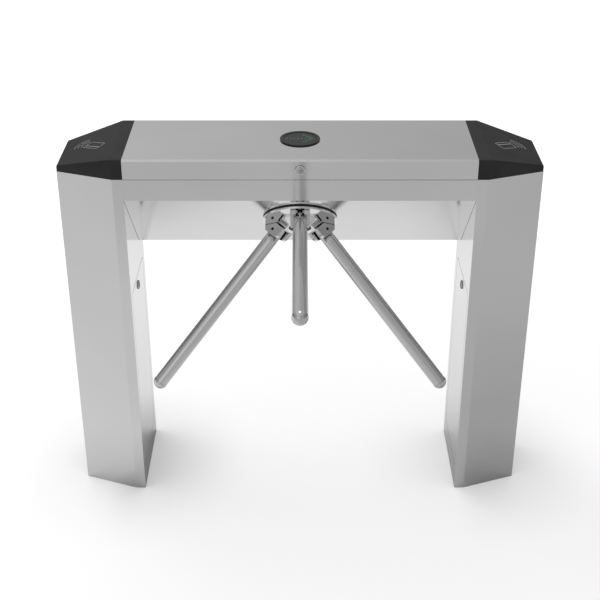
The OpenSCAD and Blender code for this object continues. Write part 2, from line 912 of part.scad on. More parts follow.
module fork_bolts() {
    half = fork_w / 2 - bolt_inset;
    color(dark_steel) for (i = [0 : arm_count - 1]) arm_frame(i)
        translate([0, 0, bolt_reach]) rotate([0, 90, 0]) difference() {
            cylinder(r = bolt_r, h = 2 * half, center = true);
            for (side = [0, 1]) mirror([0, 0, side]) translate([0, 0, half - socket_depth])
                cylinder(r = socket_r, h = socket_depth + overrun, $fn = 6);
        }
}

module fork_bushes() {
    bush_t = (fork_slot - tongue_t) / 2 - running;
    color(black) for (i = [0 : arm_count - 1]) arm_frame(i)
        translate([0, 0, bolt_reach]) rotate([0, 90, 0]) for (side = [0, 1]) mirror([0, 0, side])
            translate([0, 0, tongue_t / 2]) ring(bush_r, bolt_r + running, bush_t);
}

module fork_screws() {
    color(dark_steel) hub_frame() fork_screw_places() translate([0, 0, flange_back]) {
        cylinder(r = fork_screw_r, h = fork_screw_l - running);
        cylinder(r = screw_head_r, h = screw_head_h);
    }
}

// Arms: the tongue is as tall as the tube and follows the flange and the fork's back.
module tongue_outline() {
    back = fork_back_l + fork_web + slack;
    difference() {
        polygon([
            [-q_at_s(flange_face + slack, back), back], [-arm_r, back], [-arm_r, dome_l], [arm_r, dome_l],
            [arm_r, l_at_s(flange_face + slack, -arm_r)]
        ]);
        difference() {
            translate([-arm_r - overrun, back - overrun])
                square([tongue_round + overrun, tongue_round + overrun]);
            translate([-arm_r + tongue_round, back + tongue_round]) circle(tongue_round);
        }
    }
}

module arm_root(index) {
    color(bright) arm_frame(index) {
        difference() {
            union() {
                intersection() {
                    along_x(tongue_t) tongue_outline();
                    cylinder(r = arm_r, h = dome_l);
                }
                translate([0, 0, dome_l]) sphere(r = arm_r);
            }
            translate([0, 0, bolt_reach]) rotate([0, 90, 0])
                cylinder(r = bolt_r + running, h = 2 * tongue_t, center = true);
            translate([0, 0, dome_l]) cylinder(r = 2 * arm_r, h = 2 * arm_r);
        }
        translate([0, 0, dome_l]) cylinder(r = arm_r, h = root_l);
        translate([0, 0, dome_l]) cylinder(r = arm_r - arm_wall - press, h = root_l + spigot_l);
    }
}

module arm_tube(index) {
    color(bright) arm_frame(index) translate([0, 0, tube_l])
        ring(arm_r, arm_r - arm_wall, arm_reach - tube_l);
}

module arm_tips() {
    rim_r = arm_r + tip_rim;
    ball_r = (rim_r * rim_r + tip_rise * tip_rise) / (2 * tip_rise);
    color(bright) for (i = [0 : arm_count - 1]) arm_frame(i) translate([0, 0, arm_reach]) {
        translate([0, 0, -tip_spigot_l]) cylinder(r = arm_r - arm_wall - press, h = tip_spigot_l);
        cylinder(r = rim_r, h = tip_rim_l);
        intersection() {
            translate([0, 0, tip_rim_l + tip_rise - ball_r]) sphere(r = ball_r);
            translate([0, 0, tip_rim_l]) cylinder(r = 2 * arm_r, h = 2 * arm_r);
        }
    }
}

// Bearing housing
module bearing_housing() {
    color(dark_steel) hub_frame() difference() {
        union() {
            translate([0, 0, plate_back]) linear_extrude(height = plate_t)
                rounded_square(plate_w, plate_h, plate_r);
            translate([0, 0, barrel_back]) cylinder(r = barrel_r, h = plate_back - barrel_back + plate_t / 2);
            translate([0, 0, rear_plate_back]) linear_extrude(height = rear_plate_t) {
                circle(rear_plate_r);
                translate([gear_centres, 0]) circle(motor_lobe_r);
                translate([0, -motor_lobe_r]) square([gear_centres, 2 * motor_lobe_r]);
                translate([-bracket_x(), -bracket_w / 2]) square([bracket_x(), bracket_w]);
            }
        }
        translate([0, 0, barrel_back - overrun])
            cylinder(r = bearing_r - ring_t, h = plate_front - barrel_back + 2 * overrun);
        for (side = [0, 1]) mirror([0, 0, side]) {
            translate([0, 0, seat_in]) cylinder(r = bearing_r + press, h = apex_depth);
            translate([0, 0, seat_end]) cylinder(r = bearing_r + clip_out, h = clip_t);
        }
        translate([gear_centres, 0, rear_plate_back - overrun])
            cylinder(r = motor_boss_r + running, h = rear_plate_t + 2 * overrun);
        for (p = stud_places()) translate([p[0], p[1], plate_back - overrun])
            cylinder(r = stud_r + loose, h = plate_t + 2 * overrun);
    }
}

module housing_nuts() {
    color(dark_steel) hub_frame() for (p = stud_places()) translate([p[0], p[1], plate_back - nut_t])
        difference() {
            cylinder(r = nut_r, h = nut_t, $fn = 6);
            translate([0, 0, -overrun]) cylinder(r = stud_r + running, h = nut_t + 2 * overrun);
        }
}

module bearing_outer_rings() {
    color(steel) hub_frame() for (side = [0, 1]) mirror([0, 0, side])
        translate([0, 0, seat_in]) ring(bearing_r, bearing_r - ring_t, bearing_w);
}

module bearing_inner_rings() {
    color(steel) hub_frame() for (side = [0, 1]) mirror([0, 0, side])
        translate([0, 0, seat_in]) ring(shaft_r + ring_t, shaft_r + press, bearing_w);
}

function ball_track() = (bearing_r + shaft_r) / 2;
function ball_r() = (bearing_r - shaft_r) / 2 - ring_t - running;

module ball_places() {
    for (side = [0, 1], i = [0 : ball_count - 1]) mirror([0, 0, side])
        translate([0, 0, seat_in + bearing_w / 2]) rotate([0, 0, full_turn / ball_count * i])
            translate([ball_track(), 0, 0]) children();
}

module bearing_balls() {
    color(bright) hub_frame() ball_places() sphere(r = ball_r());
}

module bearing_clips() {
    color(dark_steel) hub_frame() for (side = [0, 1]) mirror([0, 0, side])
        translate([0, 0, seat_end]) ring(bearing_r + clip_out - running, bearing_r - clip_in, clip_t);
}

// Shaft, gears and sensor disc
module main_shaft() {
    color(steel) hub_frame() difference() {
        rotate_extrude() polygon([
            [0, shaft_back], [shaft_nose_r, shaft_back], [shaft_nose_r, gear_hub_back],
            [shaft_r, gear_hub_back], [shaft_r, seat_end], [shoulder_r, seat_end],
            [shoulder_r, flange_back], [shaft_nose_r, flange_back], [shaft_nose_r, flange_face],
            [0, flange_face]
        ]);
        translate([0, 0, flange_face - core_bolt_l - core_bolt_seat])
            cylinder(r = core_bolt_r, h = core_bolt_l + 2 * core_bolt_seat);
        translate([-key_w / 2, shaft_r - key_deep, gear_back]) cube([key_w, shaft_r, gear_w]);
    }
}

// Involute teeth: each flank unwinds from the base circle up to the tip circle.
function inv_angle(r, base) = r <= base ? 0 : sqrt(r * r / (base * base) - 1) * 180 / PI - acos(base / r);
function tooth_points(teeth, i) =
    let (
        pitch = gear_module * teeth / 2, base = pitch * cos(pressure_angle), tip = pitch + gear_module,
        root = pitch - 1.25 * gear_module, start = max(base, root),
        half = 90 / teeth - backlash / pitch * 90 / PI + inv_angle(pitch, base),
        rise = [for (k = [0 : flank_steps]) start + (tip - start) * k / flank_steps],
        flank = [for (r = rise) [r, half - inv_angle(r, base)]],
        centre = full_turn * i / teeth
    )
    concat(
        [[root * cos(centre - half), root * sin(centre - half)]],
        [for (f = flank) [f[0] * cos(centre - f[1]), f[0] * sin(centre - f[1])]],
        [for (k = [flank_steps : -1 : 0])
            [flank[k][0] * cos(centre + flank[k][1]), flank[k][0] * sin(centre + flank[k][1])]],
        [[root * cos(centre + half), root * sin(centre + half)]]
    );

module gear_outline(teeth) {
    polygon([for (i = [0 : teeth - 1], p = tooth_points(teeth, i)) p]);
}

module drive_gear() {
    web_r = gear_pitch_r - gear_rim;
    web_cut = (gear_w - gear_web_t) / 2;
    hole_track = (gear_hub_r + web_r) / 2;
    color(steel) hub_frame() difference() {
        union() {
            translate([0, 0, gear_back]) difference() {
                linear_extrude(height = gear_w) gear_outline(gear_teeth);
                for (z = [-overrun, gear_w - web_cut]) translate([0, 0, z])
                    ring(web_r, gear_hub_r, web_cut + overrun);
                for (i = [0 : gear_hole_count - 1]) rotate([0, 0, full_turn / gear_hole_count * i])
                    translate([hole_track, 0, -overrun]) cylinder(r = gear_hole_r, h = gear_w + 2 * overrun);
            }
            translate([0, 0, gear_hub_back]) cylinder(r = gear_hub_r, h = gear_w + gear_w);
            translate([0, 0, gear_front]) cylinder(r = shoulder_r, h = 2 * bearing_gap);
        }
        translate([0, 0, gear_hub_back - overrun]) cylinder(r = shaft_r + press, h = 4 * gear_w);
        translate([-key_w / 2, 0, gear_hub_back - overrun])
            cube([key_w, shaft_r + key_proud, 4 * gear_w]);
    }
}

module gear_key() {
    color(dark_steel) hub_frame() translate([-key_w / 2, shaft_r - key_deep, gear_back])
        cube([key_w, key_deep + key_proud, gear_w]);
}

module sensor_disc() {
    color(black) hub_frame() translate([0, 0, disc_back]) difference() {
        ring(disc_r, shaft_nose_r + press, disc_t);
        for (i = [0 : arm_count - 1]) rotate([0, 0, arm_step * i])
            translate([-disc_notch / 2, disc_r - disc_notch_deep, -overrun])
                cube([disc_notch, disc_notch_deep + overrun, disc_t + 2 * overrun]);
    }
}

module shaft_nut() {
    color(dark_steel) hub_frame() translate([0, 0, nut_back]) difference() {
        cylinder(r = shaft_nut_r, h = shaft_nut_t, $fn = 6);
        translate([0, 0, -overrun]) cylinder(r = shaft_nose_r + press, h = shaft_nut_t + 2 * overrun);
    }
}

module drive_motor() {
    color(dark_steel) hub_frame() translate([gear_centres, 0, motor_front]) difference() {
        union() {
            cylinder(r = motor_r, h = motor_l);
            translate([0, 0, -motor_boss_l]) cylinder(r = motor_boss_r, h = motor_boss_l + motor_l / 2);
        }
        translate([0, 0, -motor_boss_l - overrun])
            cylinder(r = motor_shaft_r + running, h = motor_boss_l + motor_shaft_in + overrun);
    }
}

module motor_pinion() {
    shaft_len = motor_front - gear_back + motor_shaft_in - running;
    color(steel) hub_frame() translate([gear_centres, 0, gear_back]) {
        rotate([0, 0, 180 / pinion_teeth]) linear_extrude(height = gear_w) gear_outline(pinion_teeth);
        cylinder(r = motor_shaft_r, h = shaft_len);
    }
}

function bracket_x() = gear_pitch_r + gear_module + sensor_reach + bracket_t;

module position_sensors() {
    jaw_h = 2 * sensor_jaw + sensor_slot;
    mid = disc_back + disc_t / 2;
    root = -bracket_x() + bracket_t;
    color(black) hub_frame() {
        translate([-bracket_x(), -bracket_w / 2, mid - jaw_h / 2])
            cube([bracket_t, bracket_w, rear_plate_back - mid + jaw_h / 2]);
        for (side = [-1, 1]) translate([root, side * sensor_pitch / 2 - sensor_w / 2, mid - jaw_h / 2])
            difference() {
                cube([sensor_root + sensor_reach, sensor_w, jaw_h]);
                translate([sensor_root + sensor_reach - (disc_r - disc_edge()), -overrun, sensor_jaw])
                    cube([2 * sensor_root, sensor_w + 2 * overrun, sensor_slot]);
            }
    }
}

function disc_edge() = bracket_x() - bracket_t - sensor_root - sensor_reach - slack;

// Control board and power supply on the bridge's back wall
module control_board() {
    wall = half_depth - sheet;
    board_x = -board_x_share * leg_in;
    color(green) translate([board_x - board_l / 2, wall - board_off - board_t, board_z - board_h / 2])
        cube([board_l, board_t, board_h]);
    color(bright) for (x = [-1, 1], z = [-1, 1])
        translate([board_x, wall - board_off, board_z])
            translate([x * (board_l / 2 - board_edge), 0, z * (board_h / 2 - board_edge)])
                rotate([-90, 0, 0]) cylinder(r = board_post_r, h = board_off);
}

module power_supply() {
    supply_x = board_x_share * leg_in;
    color(steel) translate([supply_x - supply_l / 2, half_depth - sheet - supply_d, board_z - supply_h / 2])
        cube([supply_l, supply_d, supply_h]);
}

leg_shell("left");  // left_leg_shell
leg_shell("right");  // right_leg_shell
base_plate("left");  // left_base_plate
base_plate("right");  // right_base_plate
door("left");  // left_door
door("right");  // right_door
door_hinge_pins();
join_bolts();
at_door_lock("left") lock_body();  // left_lock_body
at_door_lock("right") lock_body();  // right_lock_body
at_door_lock("left") lock_cam();  // left_lock_cam
at_door_lock("right") lock_cam();  // right_lock_cam
bridge_body();
bridge_ends();
bridge_rim();
lid();
lid_gasket();
lid_hinge_pins();
at_lid_lock() lock_body();  // lid_lock_body
at_lid_lock() lock_cam();  // lid_lock_cam
indicator_bezel();
indicator_window();
indicator_lamps();
cap("left");  // left_cap
cap("right");  // right_cap
card_readers();
hub_seal();
hub_flange();
hub_core();
hub_plug();
core_bolt();
fork(0);  // front_fork
fork(1);  // left_fork
fork(2);  // right_fork
fork_bolts();
fork_bushes();
fork_screws();
arm_root(0);  // front_arm_root
arm_root(1);  // left_arm_root
arm_root(2);  // right_arm_root
arm_tube(0);  // front_arm
arm_tube(1);  // left_arm
arm_tube(2);  // right_arm
arm_tips();
bearing_housing();
housing_nuts();
bearing_outer_rings();
bearing_inner_rings();
bearing_balls();
bearing_clips();
main_shaft();
drive_gear();
gear_key();
sensor_disc();
shaft_nut();
drive_motor();
motor_pinion();
position_sensors();
control_board();
power_supply();
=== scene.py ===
"""Looks of a bridge-type tripod turnstile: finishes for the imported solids, added trim and a studio.

Lengths are in metres and patterns in cycles a metre. Angles are in radians, apart from those that
are said to be in degrees.
"""

import logging
import math
from collections.abc import Sequence
from dataclasses import dataclass
from enum import Enum

import bmesh
import bpy
import numpy as np
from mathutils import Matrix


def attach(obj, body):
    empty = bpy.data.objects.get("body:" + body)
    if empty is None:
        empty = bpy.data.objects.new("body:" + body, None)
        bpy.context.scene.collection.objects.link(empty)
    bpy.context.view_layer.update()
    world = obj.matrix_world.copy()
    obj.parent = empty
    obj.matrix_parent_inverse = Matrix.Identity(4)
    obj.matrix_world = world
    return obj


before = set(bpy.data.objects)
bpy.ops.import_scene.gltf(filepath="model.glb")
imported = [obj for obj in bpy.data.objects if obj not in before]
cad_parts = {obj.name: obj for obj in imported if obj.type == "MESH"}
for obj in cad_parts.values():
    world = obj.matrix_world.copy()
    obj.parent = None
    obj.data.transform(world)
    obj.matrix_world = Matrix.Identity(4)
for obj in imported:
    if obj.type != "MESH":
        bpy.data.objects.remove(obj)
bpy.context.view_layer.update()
LOG = logging.getLogger("turnstile")

Vector = tuple[float, float, float]
Rgb = tuple[float, float, float]
Span = tuple[float, float]
Points = np.ndarray
Faces = np.ndarray
Surface = tuple[Points, Faces]
Tree = bpy.types.NodeTree
Socket = bpy.types.NodeSocket
Feed = Socket | float | Vector  # what an input of a node takes

PATTERN_SPAN: Span = (0.3, 0.7)  # where nearly all values of a noise texture lie
SHARE_SPAN: Span = (0.0, 1.0)  # from none to all
OCCLUSION_SAMPLES = 8
BEVEL_SAMPLES = 4
MERGE_REACH = 1e-6  # points of a new mesh that lie nearer than this become one
SHORTEST_EDGE = 1e-7
POLE_DIGITS = 9  # sines and cosines are rounded to these, so that those of a quarter turn are 0


class Grain(Enum):
    """Direction in which the polishing belt ran over a steel surface."""

    LANE = "along X"
    HEIGHT = "along Z"
    TURNED = "no single direction"


class Way(Enum):
    """How two values are combined."""

    SUM = "ADD"
    PRODUCT = "MULTIPLY"
    POWER = "POWER"


class Ends(Enum):
    """How a range of values meets its ends."""

    SHARP = "LINEAR"
    SOFT = "SMOOTHSTEP"


class Mixture(Enum):
    """What a mix node mixes."""

    COLOURS = "RGBA"
    NUMBERS = "FLOAT"


# ---- colours and nodes

def even(value: float) -> Vector:
    """The same value along all three axes."""
    return value, value, value


def grey(level: float) -> Rgb:
    """A neutral colour."""
    return level, level, level


def dimmed(colour: Rgb, share: float) -> Rgb:
    """A colour with each channel cut to a share."""
    return colour[0] * share, colour[1] * share, colour[2] * share


def wire(tree: Tree, node: bpy.types.Node, inputs: dict[str | int, Feed]) -> None:
    """Feeds inputs of a node.

    Args:
        tree: The node's tree.
        node: The node.
        inputs: What each input takes, by its name or number: a socket, number, vector or colour.
    """
    for key, value in inputs.items():
        target = node.inputs[key]
        if isinstance(value, Socket):
            tree.links.new(value, target)
        elif target.type == "RGBA":
            target.default_value = (*value, 1.0)
        else:
            target.default_value = value


def add_node(tree: Tree, kind: str, inputs: dict[str | int, Feed] | None = None) -> bpy.types.Node:
    """Adds a node to a tree.

    Args:
        tree: The tree.
        kind: The node's type, without the prefix that all shader nodes share.
        inputs: What its inputs take.

    Returns:
        The node.
    """
    node = tree.nodes.new(f"ShaderNode{kind}")
    wire(tree, node, inputs or {})
    return node


def new_material(name: str) -> tuple[bpy.types.Material, bpy.types.Node]:
    """Makes a node material with one Principled shader.

    Args:
        name: The material's name.

    Returns:
        The material and its Principled node.
    """
    material = bpy.data.materials.new(name)
    material.use_nodes = True
    return material, material.node_tree.nodes["Principled BSDF"]


def empty_tree(holder: bpy.types.Material | bpy.types.World) -> Tree:
    """Gives a material or a world a node tree with nothing in it.

    Args:
        holder: The material or world.

    Returns:
        The tree.
    """
    holder.use_nodes = True
    holder.node_tree.nodes.clear()
    return holder.node_tree


def combined(tree: Tree, way: Way, first: Feed, *others: Feed) -> Socket:
    """A sum, product or power of values, worked out from left to right.

    Args:
        tree: The node tree.
        way: How each value joins the result of those before it.
        first: The first value.
        *others: The values that follow.

    Returns:
        The result's socket.
    """
    result = first
    for value in others:
        node = add_node(tree, "Math", {0: result, 1: value})
        node.operation = way.value
        result = node.outputs["Value"]
    return result


def ranged(tree: Tree, value: Socket, source: Span, target: Span,
           ends: Ends = Ends.SHARP) -> Socket:
    """Carries one range of values over to another, and past its ends keeps the end's value.

    Args:
        tree: The node tree.
        value: The value to carry over.
        source: The range that it comes in.
        target: The range that it leaves in.
        ends: How it meets its ends.

    Returns:
        The new value's socket.
    """
    node = add_node(tree, "MapRange", {
        "Value": value,
        "From Min": source[0],
        "From Max": source[1],
        "To Min": target[0],
        "To Max": target[1],
    })
    node.interpolation_type = ends.value
    return node.outputs["Result"]


def mixed(tree: Tree, kind: Mixture, share: Socket, first: Feed, second: Feed) -> Socket:
    """Mixes two values by a share.

    Args:
        tree: The node tree.
        kind: What is mixed.
        share: The share of the second value.
        first: What a share of 0 gives.
        second: What a share of 1 gives.

    Returns:
        The mixture's socket.
    """
    node = add_node(tree, "Mix")
    node.data_type = kind.value  # comes first, because it decides which A and B are meant
    wire(tree, node, {"Factor": share, "A": first, "B": second})
    return node.outputs["Result"]


def mapped(tree: Tree, scale: Vector) -> Socket:
    """Object coordinates in cycles of a pattern.

    Args:
        tree: The node tree.
        scale: Cycles a metre along each axis.

    Returns:
        The vector's socket.
    """
    place = add_node(tree, "TexCoord").outputs["Object"]
    return add_node(tree, "Mapping", {"Vector": place, "Scale": scale}).outputs["Vector"]


def noise(tree: Tree, scale: Vector, detail: float) -> Socket:
    """A noise pattern at a true scale.

    Args:
        tree: The node tree.
        scale: Cycles a metre along each axis.
        detail: Octaves.

    Returns:
        The pattern's socket, with values from 0 to 1.
    """
    inputs = {"Vector": mapped(tree, scale), "Scale": 1.0, "Detail": detail}
    return add_node(tree, "TexNoise", inputs).outputs["Fac"]


def clouded(tree: Tree, pattern: Socket, dark: Rgb, light: Rgb) -> Socket:
    """A colour that a noise pattern moves between two shades.

    Args:
        tree: The node tree.
        pattern: The noise pattern.
        dark: The shade where the pattern is low.
        light: The shade where it is high.

    Returns:
        The colour's socket.
    """
    share = ranged(tree, pattern, PATTERN_SPAN, SHARE_SPAN)
    return mixed(tree, Mixture.COLOURS, share, dark, light)


def openness(tree: Tree, reach: float) -> Socket:
    """How open a place is.

    Args:
        tree: The node tree.
        reach: How near a neighbour has to be to count.

    Returns:
        A socket with 1 on an open face, and less where a neighbour stands within reach.
    """
    node = add_node(tree, "AmbientOcclusion", {"Distance": reach})
    node.samples = OCCLUSION_SAMPLES
    return node.outputs["AO"]


def bumped(tree: Tree, pattern: Socket, depth: float, strength: float, edge: float = 0.0) -> Socket:
    """A surface normal with a height pattern and softened edges.

    Args:
        tree: The node tree.
        pattern: The height pattern, from 0 to 1.
        depth: The height of 1.
        strength: The share of the bump that is used.
        edge: The radius to which sharp edges are softened in the light.

    Returns:
        The normal's socket.
    """
    bump = add_node(tree, "Bump", {"Height": pattern, "Distance": depth, "Strength": strength})
    if edge > 0:
        soft = add_node(tree, "Bevel", {"Radius": edge})
        soft.samples = BEVEL_SAMPLES
        wire(tree, bump, {"Normal": soft.outputs["Normal"]})
    return bump.outputs["Normal"]


# ---- finishes

@dataclass(frozen=True)
class SteelFinish:
    """Ground or polished steel with belt lines, faint clouds, softened edges and painted shade in
    crevices.

    The belt's pattern has lines cycles a metre across its run and run cycles along it, or
    turned_share of lines on every axis where it ran in no single direction. It moves the roughness
    by spread either way, and the height by depth. Clouds darken the colour to cloud_shade of it,
    and where neighbours stand within crevice the colour is darkened as painted shade, which stands
    in for the shade in gaps and seams. Edges look rounded to the radius edge.
    """

    name: str
    base: Rgb
    roughness: float
    spread: float = 0.03
    grain: Grain = Grain.TURNED
    lines: float = 900.0
    run: float = 3.0
    turned_share: float = 1 / 3
    line_detail: float = 2.0
    depth: float = 0.00002
    strength: float = 0.25
    clouds: float = 5.0
    cloud_detail: float = 3.0
    cloud_shade: float = 0.965
    edge: float = 0.0006
    crevice: float = 0.006
    crevice_power: float = 1.6
    # level of the painted shade that darkens the steel in crevices
    painted_shade_level: float = 0.01

    def belt_scale(self) -> Vector:
        """The belt lines' cycles a metre: few along the belt's run, many across it.

        Returns:
            The scale along each axis, all three alike where the belt ran in no single direction.
        """
        return {Grain.LANE: (self.run, self.lines, self.lines),
                Grain.HEIGHT: (self.lines, self.lines, self.run),
                Grain.TURNED: even(self.lines * self.turned_share)}[self.grain]

    def build(self) -> bpy.types.Material:
        """Makes the material: belt lines move roughness and height, clouds and painted shade the
        colour.

        Returns:
            The material.
        """
        material, shader = new_material(self.name)
        tree = material.node_tree
        belt = noise(tree, self.belt_scale(), self.line_detail)
        cloud = noise(tree, even(self.clouds), self.cloud_detail)
        colour = clouded(tree, cloud, dimmed(self.base, self.cloud_shade), self.base)
        # painted shade: the colour darkens where neighbours stand within crevice, for the shade in
        # gaps and seams
        unshaded_share = combined(tree, Way.POWER, openness(tree, self.crevice), self.crevice_power)
        rough = (self.roughness - self.spread, self.roughness + self.spread)
        wire(tree, shader, {
            "Base Color": mixed(tree, Mixture.COLOURS, unshaded_share, grey(self.painted_shade_level), colour),
            "Metallic": 1.0,
            "Roughness": ranged(tree, belt, PATTERN_SPAN, rough),
            "Normal": bumped(tree, belt, self.depth, self.strength, self.edge),
        })
        return material


@dataclass(frozen=True)
class MouldedFinish:
    """Moulded plastic, rubber or thick paint with a fine spark-eroded grain and faint patches.

    The grain moves the roughness down by smoother and up by rougher, and the height by depth. The
    patches move the colour between base and light.
    """

    name: str
    base: Rgb
    light: Rgb
    roughness: float
    smoother: float = 0.05
    rougher: float = 0.06
    specular: float = 0.5
    grain: float = 1400.0
    grain_detail: float = 2.0
    depth: float = 0.00008
    strength: float = 0.35
    patches: float = 14.0
    patch_detail: float = 4.0

    def build(self) -> bpy.types.Material:
        """Makes the material: the grain moves roughness and height, the patches the colour.

        Returns:
            The material.
        """
        material, shader = new_material(self.name)
        tree = material.node_tree
        fine = noise(tree, even(self.grain), self.grain_detail)
        wide = noise(tree, even(self.patches), self.patch_detail)
        rough = (self.roughness - self.smoother, self.roughness + self.rougher)
        wire(tree, shader, {
            "Base Color": clouded(tree, wide, self.base, self.light),
            "Roughness": ranged(tree, fine, PATTERN_SPAN, rough),
            "Specular IOR Level": self.specular,
            "Normal": bumped(tree, fine, self.depth, self.strength),
        })
        return material


@dataclass(frozen=True)
class LampFinish:
    """A clear coloured lamp that glows a little."""

    name: str
    base: Rgb
    glow: float
    roughness: float = 0.25
    grain: float = 600.0
    grain_detail: float = 2.0
    grain_shade: float = 0.6

    def build(self) -> bpy.types.Material:
        """Makes the material: a fine grain moves the colour, and the glow is even.

        Returns:
            The material.
        """
        material, shader = new_material(self.name)
        tree = material.node_tree
        grain = noise(tree, even(self.grain), self.grain_detail)
        wire(tree, shader, {
            "Base Color": clouded(tree, grain, dimmed(self.base, self.grain_shade), self.base),
            "Roughness": self.roughness,
            "Emission Color": self.base,
            "Emission Strength": self.glow,
        })
        return material


@dataclass(frozen=True)
class BoardFinish:
    """Solder mask over copper tracks that run in steps along X and Z.

    They lie on the joints of a brick pattern with tracks cycles a metre, and the mask between them
    changes from base to shade.
    """

    name: str
    base: Rgb
    shade: Rgb
    track: Rgb
    tracks: float = 160.0
    track_width: float = 0.09
    roughness: float = 0.35
    depth: float = 0.00005
    strength: float = 0.4

    def build(self) -> bpy.types.Material:
        """Makes the material: a brick pattern stood up on the board's face, its joints the tracks.

        Returns:
            The material.
        """
        material, shader = new_material(self.name)
        tree = material.node_tree
        upright = add_node(tree, "Mapping", {
            "Vector": mapped(tree, even(self.tracks)),
            "Rotation": (math.pi / 2, 0.0, 0.0),
        })
        brick = add_node(tree, "TexBrick", {
            "Vector": upright.outputs["Vector"],
            "Scale": 1.0,
            "Mortar Size": self.track_width,
            "Color1": self.base,
            "Color2": self.shade,
            "Mortar": self.track,
        })
        wire(tree, shader, {
            "Base Color": brick.outputs["Color"],
            "Roughness": self.roughness,
            "Normal": bumped(tree, brick.outputs["Fac"], self.depth, self.strength),
        })
        return material


# ---- surfaces

def grid_faces(rows: int, cols: int, wrap_rows: bool, wrap_cols: bool) -> Faces:
    """Quads over a grid of points.

    Args:
        rows: Points along the first parameter.
        cols: Points along the second parameter.
        wrap_rows: Joins the last row to the first.
        wrap_cols: Joins the last column to the first.

    Returns:
        An array of four indices a face.
    """
    row, col = np.meshgrid(np.arange(rows if wrap_rows else rows - 1),
                           np.arange(cols if wrap_cols else cols - 1), indexing="ij")
    next_row, next_col = (row + 1) % rows, (col + 1) % cols
    quads = np.stack([row * cols + col, next_row * cols + col,
                      next_row * cols + next_col, row * cols + next_col], -1)
    return quads.reshape(-1, 4)


def revolve(profile: Points, steps: int) -> Surface:
    """A closed profile turned about Z.

    Each point (r, z) of it goes to (r cos t, r sin t, z) for t round the circle.

    Args:
        profile: Radius and height pairs round a loop, the last the same as the first.
        steps: Steps round the circle.

    Returns:
        Points and faces.
    """
    turn = np.linspace(0.0, 2 * np.pi, steps, endpoint=False)
    r, z = profile[:-1, :1], profile[:-1, 1:]
    points = np.stack([r * np.cos(turn), r * np.sin(turn), z + 0 * turn], -1)
    return points.reshape(-1, 3), grid_faces(len(r), steps, True, True)


def ribbon(path: Points, width: float, height: float, closed: bool) -> Surface:
    """A flat bar: a rectangle carried along a path, square to the path's run.

    Args:
        path: Points (x, y) of the centre line.
        width: The bar's width in the path's plane.
        height: The bar's height above the plane.
        closed: Joins the end to the start.

    Returns:
        Points and faces.
    """
    if closed:
        ahead = np.roll(path, -1, 0) - np.roll(path, 1, 0)
    else:
        ahead = np.gradient(path, axis=0)
    ahead = ahead / np.linalg.norm(ahead, axis=1, keepdims=True)
    side = np.stack([-ahead[:, 1], ahead[:, 0]], -1) * width / 2
    low, high = np.zeros(len(path)), np.full(len(path), height)
    section = [np.column_stack([path - side, low]), np.column_stack([path + side, low]),
               np.column_stack([path + side, high]), np.column_stack([path - side, high])]
    faces = grid_faces(len(path), len(section), closed, True)
    if not closed:
        first = np.arange(len(section))
        last = first[::-1] + (len(path) - 1) * len(section)
        faces = np.vstack([faces, first, last])
    return np.stack(section, 1).reshape(-1, 3), faces


def rounded_block(size: Vector, power: float, steps: int) -> Surface:
    """A block with rounded edges.

    It is a ball whose sines and cosines are raised to a power, stretched to the block's size.

    Args:
        size: The block's full size along each axis.
        power: The roundness, from 0 for a block to 1 for a ball.
        steps: Steps round the block.

    Returns:
        Points and faces.
    """
    lat = np.linspace(-np.pi / 2, np.pi / 2, steps // 2 + 1)[:, None]
    lon = np.linspace(-np.pi, np.pi, steps, endpoint=False)[None, :] + np.pi / steps

    def shaped(value: np.ndarray) -> np.ndarray:
        """Raises the size of sines or cosines to the power and keeps their sign.

        Args:
            value: The sines or cosines.

        Returns:
            Their powers, 0 at a quarter turn, so that each pole is one point.
        """
        value = np.round(value, POLE_DIGITS)
        return np.sign(value) * np.abs(value) ** power

    ball = [shaped(np.cos(lat)) * shaped(np.cos(lon)), shaped(np.cos(lat)) * shaped(np.sin(lon)),
            shaped(np.sin(lat)) + 0 * lon]
    points = np.stack(ball, -1) * np.array(size) / 2
    return points.reshape(-1, 3), grid_faces(len(lat), steps, False, True)


@dataclass(frozen=True)
class Seat:
    """A local frame: its origin, and where its X and Z axes point."""

    origin: Vector
    x_axis: Vector
    z_axis: Vector

    def carry(self, surface: Surface) -> Surface:
        """Carries a surface out of the local frame: x, y, z times the unit axes X, Z cross X and Z.

        Args:
            surface: Points in the local frame, and faces.

        Returns:
            Points in the part's frame, and the same faces.
        """
        points, faces = surface
        z = np.array(self.z_axis, float) / np.linalg.norm(self.z_axis)
        x = np.array(self.x_axis, float) - z * np.dot(z, self.x_axis)
        x = x / np.linalg.norm(x)
        return points @ np.stack([x, np.cross(z, x), z]) + np.array(self.origin), faces


def add_object(name: str, data: bpy.types.ID) -> bpy.types.Object:
    """Puts a mesh, lamp or camera into the scene.

    Args:
        name: The object's name.
        data: What it shows.

    Returns:
        The object.
    """
    thing = bpy.data.objects.new(name, data)
    bpy.context.scene.collection.objects.link(thing)
    return thing


